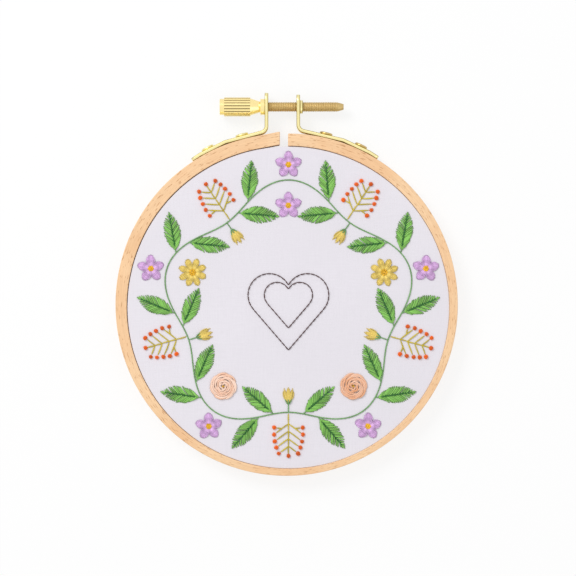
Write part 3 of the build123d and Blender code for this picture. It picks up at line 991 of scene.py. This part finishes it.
def slot_block(end):
    """The corners and faces of the block that the driver slot takes out of the knob's end."""
    turn, half_length, half_width, depth, spare = radians(20), 5 * MM, 0.65 * MM, 1.4 * MM, 1 * MM
    long_side = Vector((0, cos(turn), sin(turn))) * half_length
    thin_side = Vector((0, -sin(turn), cos(turn))) * half_width
    points = []
    for x in (end - spare, end + depth):
        for a, b in ((-1, -1), (1, -1), (1, 1), (-1, 1)):
            points.append(Vector((x, screw_axis.y, screw_axis.z)) + long_side * a + thin_side * b)
    faces = [(0, 1, 2, 3), (7, 6, 5, 4), (1, 0, 4, 5), (2, 1, 5, 6), (3, 2, 6, 7), (0, 3, 7, 4)]
    return points, faces


class HOOP_OT_threaded_rod(Operator):
    """Cut the helical thread of the clamp's rod"""

    bl_idname = "hoop.threaded_rod"
    bl_label = "Threaded Rod"

    def execute(self, context):
        sizes, colours = context.scene.hoop, context.scene.hoop_colours
        crest = (rod_high.z - rod_low.z) / 2
        pitch, depth = sizes.thread_pitch, sizes.thread_depth
        start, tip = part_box("thumb_knob")[1].x, rod_high.x
        relief, tip_length, tip_radius, flank_slope = 0.5 * MM, 2.85 * MM, 1.15 * MM, 2.6
        steps, sides = 8, 32
        count = ceil((tip - start) / pitch * steps)

        def thread_radius(x, turn):
            if x <= start + relief:
                return crest - depth
            phase = (x / pitch + turn / (2 * pi)) % 1.0
            wave = min(abs(phase - 0.5) * flank_slope, 1.0)
            cone = tip_radius + (crest - tip_radius) * min((tip - x) / tip_length, 1.0)
            return min(crest - depth * (1 - wave), cone)

        places = [rod_low.x] + [start + (tip - start) * i / count for i in range(count + 1)]
        turns = [2 * pi * j / sides for j in range(sides)]
        points = [beside_screw(x, thread_radius(x, turn), turn) for x in places for turn in turns]
        faces = tube_faces(len(places), sides)
        faces += [tuple(range(sides))[::-1], tuple(range(len(points) - sides, len(points)))]
        made = brass_material("brass_rod", colours.rod, 0.5, 0.4)
        rod = mesh_piece("threaded_rod_cut", points, faces, made)
        finished(rod, "screw", "rod_brass", "threaded_rod")
        return {"FINISHED"}


# Needlework
class HOOP_OT_leaves(Operator):
    """Work the leaves in fishbone stitch and their veins in dark green"""

    bl_idname = "hoop.leaves"
    bl_label = "Leaves"

    def execute(self, context):
        sizes, colours = context.scene.wreath, context.scene.hoop_colours
        reach, width = sizes.leaf_length / MM, sizes.leaf_width / MM
        leaves, veins = Needlework("leaf_threads", 21), Needlework("vein_threads", 22)
        chance = leaves.chance
        tip_back, tip_over, slant, vein_start, vein_end = 2.2, 0.3, 0.85, 1.4, 1.6
        fork_chance, overlap = 0.6, 0.75
        for place in leaf_places():
            leaves.stitch(place.out(reach - tip_back), place.out(reach + tip_over), 0.3, thick=0.36)
            for row in range(sizes.leaf_rows):
                along = reach * (1 - (row + 0.6) / sizes.leaf_rows)
                for side in (1, -1):
                    edge = half_width(along, reach, width) + chance.uniform(-0.1, 0.3)
                    inner = max(along - 0.7 - slant * edge, 0.15) + chance.uniform(-0.1, 0.1)
                    start = place.out(inner, -side * 0.1)
                    end = place.out(along + chance.uniform(-0.1, 0.2), side * edge)
                    leaves.stitch(start, end, 0.22, side * 0.12, chance.uniform(0.3, 0.36), None, (0.2, 0.02))
            along, side = vein_start, 1
            while along < reach - vein_end:
                swing = chance.uniform(0.12, 0.4) * side
                run = chance.uniform(0.7, 1.05)
                start, end = place.out(along, -swing), place.out(along + run, swing)
                veins.stitch(start, end, 0.16, thick=0.19, low=(0.5, 0.46))
                if chance.random() < fork_chance:
                    dip = chance.uniform(0.4, 1.0)
                    fork = place.out(along, side * 0.2), place.out(along + dip * 0.9, side * (0.2 + dip))
                    veins.stitch(*fork, 0.08, thick=0.13, low=(0.5, 0.4))
                along += run * overlap
                side = -side
        made = thread_material("thread_leaf", colours.green, 0.26, dip_share=0.65, deep_share=0.45)
        leaves.sewn("leaf_stitches", "green_thread", made)
        made = thread_material("thread_vein", colours.dark_green, 0.6, 0.1)
        veins.sewn("leaf_veins", "dark_green_thread", made)
        return {"FINISHED"}


class HOOP_OT_vine(Operator):
    """Work the vine and the bud stems in stem stitch"""

    bl_idname = "hoop.vine"
    bl_label = "Vine"

    def execute(self, context):
        colours = context.scene.hoop_colours
        vine = Needlework("vine_threads", 31)
        count, reach, thick = 220, 1.9, 0.24
        for i in range(count):
            start = vine_point(360 * i / count, 0.1)
            end = vine_point(360 * (i + reach) / count, -0.1)
            vine.stitch(start, end, 0.16, thick=thick, low=(0.08, 0.02))
        for place in motif_places("bud"):
            vine.stitch(place.out(0.2), place.out(3.5), 0.18, thick=thick)
            for side in (1, -1):
                vine.stitch(place.out(0.5), place.out(-2.2, side * 1.35), 0.42, side * 0.25, thick)
            vine.stitch(place.out(0.5), place.out(-1.7), 0.5, thick=thick, low=(0.1, 0.4))
        for place in leaf_places():
            vine.stitch(place.out(-1.2), place.out(1.0), 0.2, thick=thick)
        vine.sewn("vine_stitches", "green_thread", thread_material("thread_vine", colours.stem))
        return {"FINISHED"}


def petal(work, place, turn, start, reach, width, rows):
    """One petal of lengthwise satin stitches that spread from its base and round off its tip, each with a
    thin dark stitch of painted shade on top.
    """
    foot_spread, tip_spread, belly, fall = 0.08, 0.36, 0.2, 0.12
    aimed = Place(place.at, degrees(place.aim) + turn)
    for row in range(rows):
        share = 2 * (row + 0.5) / rows - 1
        foot = aimed.out(start, share * width * foot_spread)
        round_off = width / 2 * (1 - sqrt(1 - share**2))
        tip_along = reach - round_off + work.chance.uniform(-0.15, 0.1)
        tip = aimed.out(tip_along, share * width * tip_spread)
        tone = 1.0 - 0.45 * abs(share) + work.chance.uniform(-0.35, 0.0)
        bow = -share * width * belly
        work.stitch(foot, tip, 0.4 - fall * abs(share), bow, 0.3, tone)
        # A thin dark stitch along each row is painted shade for the gap between satin threads.
        gap_shade_line = foot.lerp(tip, 0.1), foot.lerp(tip, 0.85)
        work.stitch(*gap_shade_line, 0.6 - fall * abs(share), bow * 1.15, 0.11, 0.0)


class HOOP_OT_blossoms(Operator):
    """Work the lilac blossoms and yellow daisies in satin stitch"""

    bl_idname = "hoop.blossoms"
    bl_label = "Blossoms"

    def execute(self, context):
        colours = context.scene.hoop_colours
        for kind, seed, petals, start, reach, width, rows, slot, tint in (
            ("lilac", 41, 5, 0.7, 5.5, 4.1, 7, "lilac_thread", colours.lilac),
            ("daisy", 42, 8, 1.0, 5.8, 2.9, 5, "yellow_thread", colours.yellow),
        ):
            work, node = Needlework(kind + "_threads", seed), kind + "_petals"
            for place in motif_places(kind):
                for i in range(petals):
                    petal(work, place, 360 / petals * i, start, reach, width, rows)
            work.sewn(node, slot, thread_material("thread_" + node, tint, 0.45, deep_share=0.5))
        return {"FINISHED"}


class HOOP_OT_wheels(Operator):
    """Weave the peach wheel blossoms round and round"""

    bl_idname = "hoop.wheels"
    bl_label = "Wheel Blossoms"

    def execute(self, context):
        colours = context.scene.hoop_colours
        wheels = Needlework("wheel_threads", 51)
        chance = wheels.chance
        radii, overlap, low, row_rise = (5.05, 4.55, 3.95, 3.3, 2.6, 1.9, 1.25), 1.3, 0.08, 0.07
        for wheel, place in enumerate(motif_places("wheel")):
            tones = (0.5, 1.0) if wheel % 2 else (0.0, 0.5)
            for row, radius in enumerate(radii):
                arcs = max(3, round(radius * 1.3))
                first = chance.uniform(0, 2 * pi)
                for i in range(arcs):
                    span = 2 * pi / arcs * overlap
                    turn = first + 2 * pi * i / arcs
                    a, b = Place(place.at, degrees(turn)), Place(place.at, degrees(turn + span))
                    bow = radius * (1 - cos(span / 2)) + 0.12
                    base = low + row * row_rise
                    start = a.out(radius + chance.uniform(-0.05, 0.2))
                    end = b.out(radius - chance.uniform(0.3, 0.6))
                    tone = chance.uniform(*tones)
                    wheels.stitch(start, end, 0.3, bow, chance.uniform(0.36, 0.46), tone, (base, base))
        made = thread_material("thread_wheel", colours.peach, 0.74, deep=colours.deep_peach)
        wheels.sewn("wheel_blossoms", "peach_thread", made, Points=9)
        return {"FINISHED"}


class HOOP_OT_buds(Operator):
    """Work the yellow buds in satin stitch"""

    bl_idname = "hoop.buds"
    bl_label = "Buds"

    def execute(self, context):
        colours = context.scene.hoop_colours
        buds = Needlework("bud_threads", 61)
        reach, foot_half, tip_half, belly = 6.5, 0.45, 2.1, 0.55
        tips = (0.78, 0.98, 0.86, 0.74, 0.9, 1.0, 0.92, 0.74, 0.84, 0.98, 0.8)
        for place in motif_places("bud"):
            for row, tip in enumerate(tips):
                share = 2 * row / (len(tips) - 1) - 1
                foot = place.out(-0.15 - 0.5 * share**2, -share * foot_half)
                end = place.out(-reach * tip + 0.4 * share**2, -share * tip_half)
                tone = 0.7 - 0.4 * abs(share) + buds.chance.uniform(-0.2, 0.2)
                buds.stitch(foot, end, 0.42 - 0.15 * abs(share), -share * belly, 0.26, tone)
        made = thread_material("thread_bud", colours.yellow, 0.62, deep_share=0.5)
        buds.sewn("yellow_buds", "yellow_thread", made)
        return {"FINISHED"}


def sprig_lines():
    """The stems of one sprig, from its root outwards, as start and end points."""
    stem, twig = 16.5, 5.0
    lines = [(Vector((0.8, 0)), Vector((stem, 0)))]
    for row, (share, twig_share) in enumerate(zip((0.28, 0.46, 0.64, 0.82), (1, 0.92, 0.8, 0.62))):
        for side in (1, -1):
            reach = twig * twig_share
            root = Vector((stem * share, 0))
            run = Vector((reach * 0.75, side * reach))
            lines.append((root, root + run))
            if row == 0:
                fork = root + run * 0.5
                lines.append((fork, fork + Vector((-0.22, side * 2.2))))
    return lines


class HOOP_OT_sprigs(Operator):
    """Work the sprig stems in straight stitches and their berries as knots"""

    bl_idname = "hoop.sprigs"
    bl_label = "Sprigs"

    def execute(self, context):
        colours = context.scene.hoop_colours
        stems, berries = Needlework("sprig_threads", 71), Needlework("berry_knots_coiled", 72)
        longest, stitch, overlap, berry_out, berry_size = 8, 3.6, 0.5, 1.0, 1.12
        for place in motif_places("sprig"):
            for start, end in sprig_lines():
                run = end - start
                parts = dashes([start, end], stitch, -overlap) if run.length > longest else [(start, end)]
                for a, b in parts:
                    bow = stems.chance.uniform(-0.12, 0.12)
                    stems.stitch(place.out(*a), place.out(*b), 0.18, bow, 0.26)
                berries.knot(place.out(*(end + run.normalized() * berry_out)), berry_size)
        made = thread_material("thread_sprig", colours.olive, 0.6)
        stems.sewn("sprig_stems", "olive_thread", made)
        made = thread_material("thread_berry", colours.orange, sheen=0.1)
        berries.sewn("berry_knots", "orange_thread", made, knot_tree)
        return {"FINISHED"}


class HOOP_OT_centres(Operator):
    """Knot the blossoms' amber centres"""

    bl_idname = "hoop.centres"
    bl_label = "Blossom Centres"

    def execute(self, context):
        colours = context.scene.hoop_colours
        hearts = Needlework("centre_knots", 81)
        for kind, count, spread, size in (
            ("lilac", 6, 0.8, 0.62),
            ("daisy", 7, 0.95, 0.62),
            ("wheel", 3, 0.42, 0.42),
        ):
            for place in motif_places(kind):
                hearts.knot(place.at, size, 0.34)
                for i in range(count):
                    hearts.knot(Place(place.at, 360 * i / count).out(spread), size, 0.3)
        made = thread_material("thread_centre", colours.amber, sheen=0.1)
        hearts.sewn("blossom_hearts", "amber_thread", made, knot_tree, Seed=9)
        return {"FINISHED"}


class HOOP_OT_heart_lines(Operator):
    """Backstitch the two heart outlines in brown"""

    bl_idname = "hoop.heart_lines"
    bl_label = "Heart Outlines"

    def execute(self, context):
        colours = context.scene.hoop_colours
        lines = Needlework("heart_threads", 91)
        stitch, gap = 2.0, 0.12
        for path in heart_paths():
            for start, end in dashes(path, stitch, gap):
                for side in (1, -1):
                    a, b = Vector((side * start.x, start.y)), Vector((side * end.x, end.y))
                    lines.stitch(a, b, 0.22, thick=0.22)
        made = thread_material("thread_heart", colours.brown, 0.6, 0.05)
        lines.sewn("heart_outlines", "brown_thread", made)
        return {"FINISHED"}


# Stage
def shown_rays(plan):
    """1 for what the camera sees, directly or mirrored in metal, and 0 for light."""
    rays = plan.node("ShaderNodeLightPath")
    labels = ("Is Camera Ray", "Is Glossy Ray", "Is Transmission Ray")
    camera, glossy, through = (rays.other(label) for label in labels)
    return (camera + glossy + through).clamped()


class HOOP_OT_stage(Operator):
    """Lay the floor, hang the soft lamps and set the camera over the hoop"""

    bl_idname = "hoop.stage"
    bl_label = "Stage"

    def execute(self, context):
        scene = context.scene
        scene.view_settings.view_transform = "Standard"
        white = {"Color": (1, 1, 1, 1), "Strength": 1.0}
        floor_half, floor_low, floor_glow, sky_light = 3.0, -0.05 * MM, 0.8, 0.68

        paper = bpy.data.materials.new("pale_floor")
        plan = emptied(paper)
        values = {"Base Color": (0.96, 0.96, 0.96, 1.0), "Roughness": 0.9, "Specular IOR Level": 0.0}
        matt = plan.node("ShaderNodeBsdfPrincipled", None, values)
        glow = plan.node("ShaderNodeEmission", None, white)
        share = shown_rays(plan) * floor_glow
        whitened = plan.node("ShaderNodeMixShader", None, {0: share, 1: matt, 2: glow})
        plan.node("ShaderNodeOutputMaterial", None, {"Surface": whitened})
        quarters = ((-1, -1), (1, -1), (1, 1), (-1, 1))
        corners = [(floor_half * a, floor_half * b, floor_low) for a, b in quarters]
        floor = mesh_piece("floor", corners, [(0, 1, 2, 3)], paper)

        scene.world = bpy.data.worlds.new("studio")
        plan = emptied(scene.world)
        lit = plan.node("ShaderNodeBackground", None, {**white, "Strength": sky_light})
        seen = plan.node("ShaderNodeBackground", None, white)
        both = plan.node("ShaderNodeMixShader", None, {0: shown_rays(plan), 1: lit, 2: seen})
        plan.node("ShaderNodeOutputWorld", None, {"Surface": both})

        target = Vector((0, 0, 4 * MM))
        for name, place, size, watts in (
            ("key_lamp", (-0.75, 0.8, 0.95), 0.6, 9.3),
            ("fill_lamp", (0.9, -0.6, 1.0), 0.9, 1.8),
        ):
            lamp = bpy.data.lights.new(name, "AREA")
            lamp.size, lamp.energy = size, watts
            hung = linked(name, lamp)
            hung.location = place
            hung.rotation_euler = (target - Vector(place)).to_track_quat("-Z", "Y").to_euler()

        distance, frame_width = 0.9, 230.4 * MM
        camera = bpy.data.cameras.new("camera")
        camera.sensor_width = 36.0
        camera.lens = camera.sensor_width * distance / frame_width
        camera.clip_start, camera.clip_end = 0.01, 20.0
        scene.camera = linked("camera", camera)
        scene.camera.location = (0.53 * MM, 6.65 * MM, distance + 8 * MM)
        return {"FINISHED"}


class HOOP_PT_panel(Panel):
    """The hoop's pieces, sizes and colours"""

    bl_idname = "HOOP_PT_panel"
    bl_label = "Embroidery Hoop"
    bl_space_type = "VIEW_3D"
    bl_region_type = "UI"
    bl_category = "Hoop"

    def draw(self, context):
        layout = self.layout
        for maker in MAKERS:
            layout.operator(maker.bl_idname)
        for group in (context.scene.hoop, context.scene.wreath, context.scene.hoop_colours):
            box = layout.box()
            for label in group.bl_rna.properties.keys():
                if label not in ("rna_type", "name"):
                    box.prop(group, label)


MAKERS = (
    HOOP_OT_stage,
    HOOP_OT_outer_ring,
    HOOP_OT_inner_ring,
    HOOP_OT_cloth,
    HOOP_OT_brackets,
    HOOP_OT_thumb_knob,
    HOOP_OT_threaded_rod,
    HOOP_OT_leaves,
    HOOP_OT_vine,
    HOOP_OT_blossoms,
    HOOP_OT_wheels,
    HOOP_OT_buds,
    HOOP_OT_sprigs,
    HOOP_OT_centres,
    HOOP_OT_heart_lines,
)
GROUPS = {"hoop": HoopSizes, "wreath": WreathSizes, "hoop_colours": HoopColours}


def register():
    for label, group in GROUPS.items():
        bpy.utils.register_class(group)
        setattr(bpy.types.Scene, label, PointerProperty(type=group))
    for maker in (*MAKERS, HOOP_PT_panel):
        bpy.utils.register_class(maker)


def unregister():
    for maker in (HOOP_PT_panel, *reversed(MAKERS)):
        bpy.utils.unregister_class(maker)
    for label, group in reversed(GROUPS.items()):
        delattr(bpy.types.Scene, label)
        bpy.utils.unregister_class(group)


def main():
    register()
    bpy.ops.hoop.stage()
    bpy.ops.hoop.outer_ring()
    bpy.ops.hoop.inner_ring()
    bpy.ops.hoop.cloth()
    bpy.ops.hoop.brackets()
    bpy.ops.hoop.thumb_knob()
    bpy.ops.hoop.threaded_rod()
    bpy.ops.hoop.leaves()
    bpy.ops.hoop.vine()
    bpy.ops.hoop.blossoms()
    bpy.ops.hoop.wheels()
    bpy.ops.hoop.buds()
    bpy.ops.hoop.sprigs()
    bpy.ops.hoop.centres()
    bpy.ops.hoop.heart_lines()


if __name__ == "__main__":
    main()
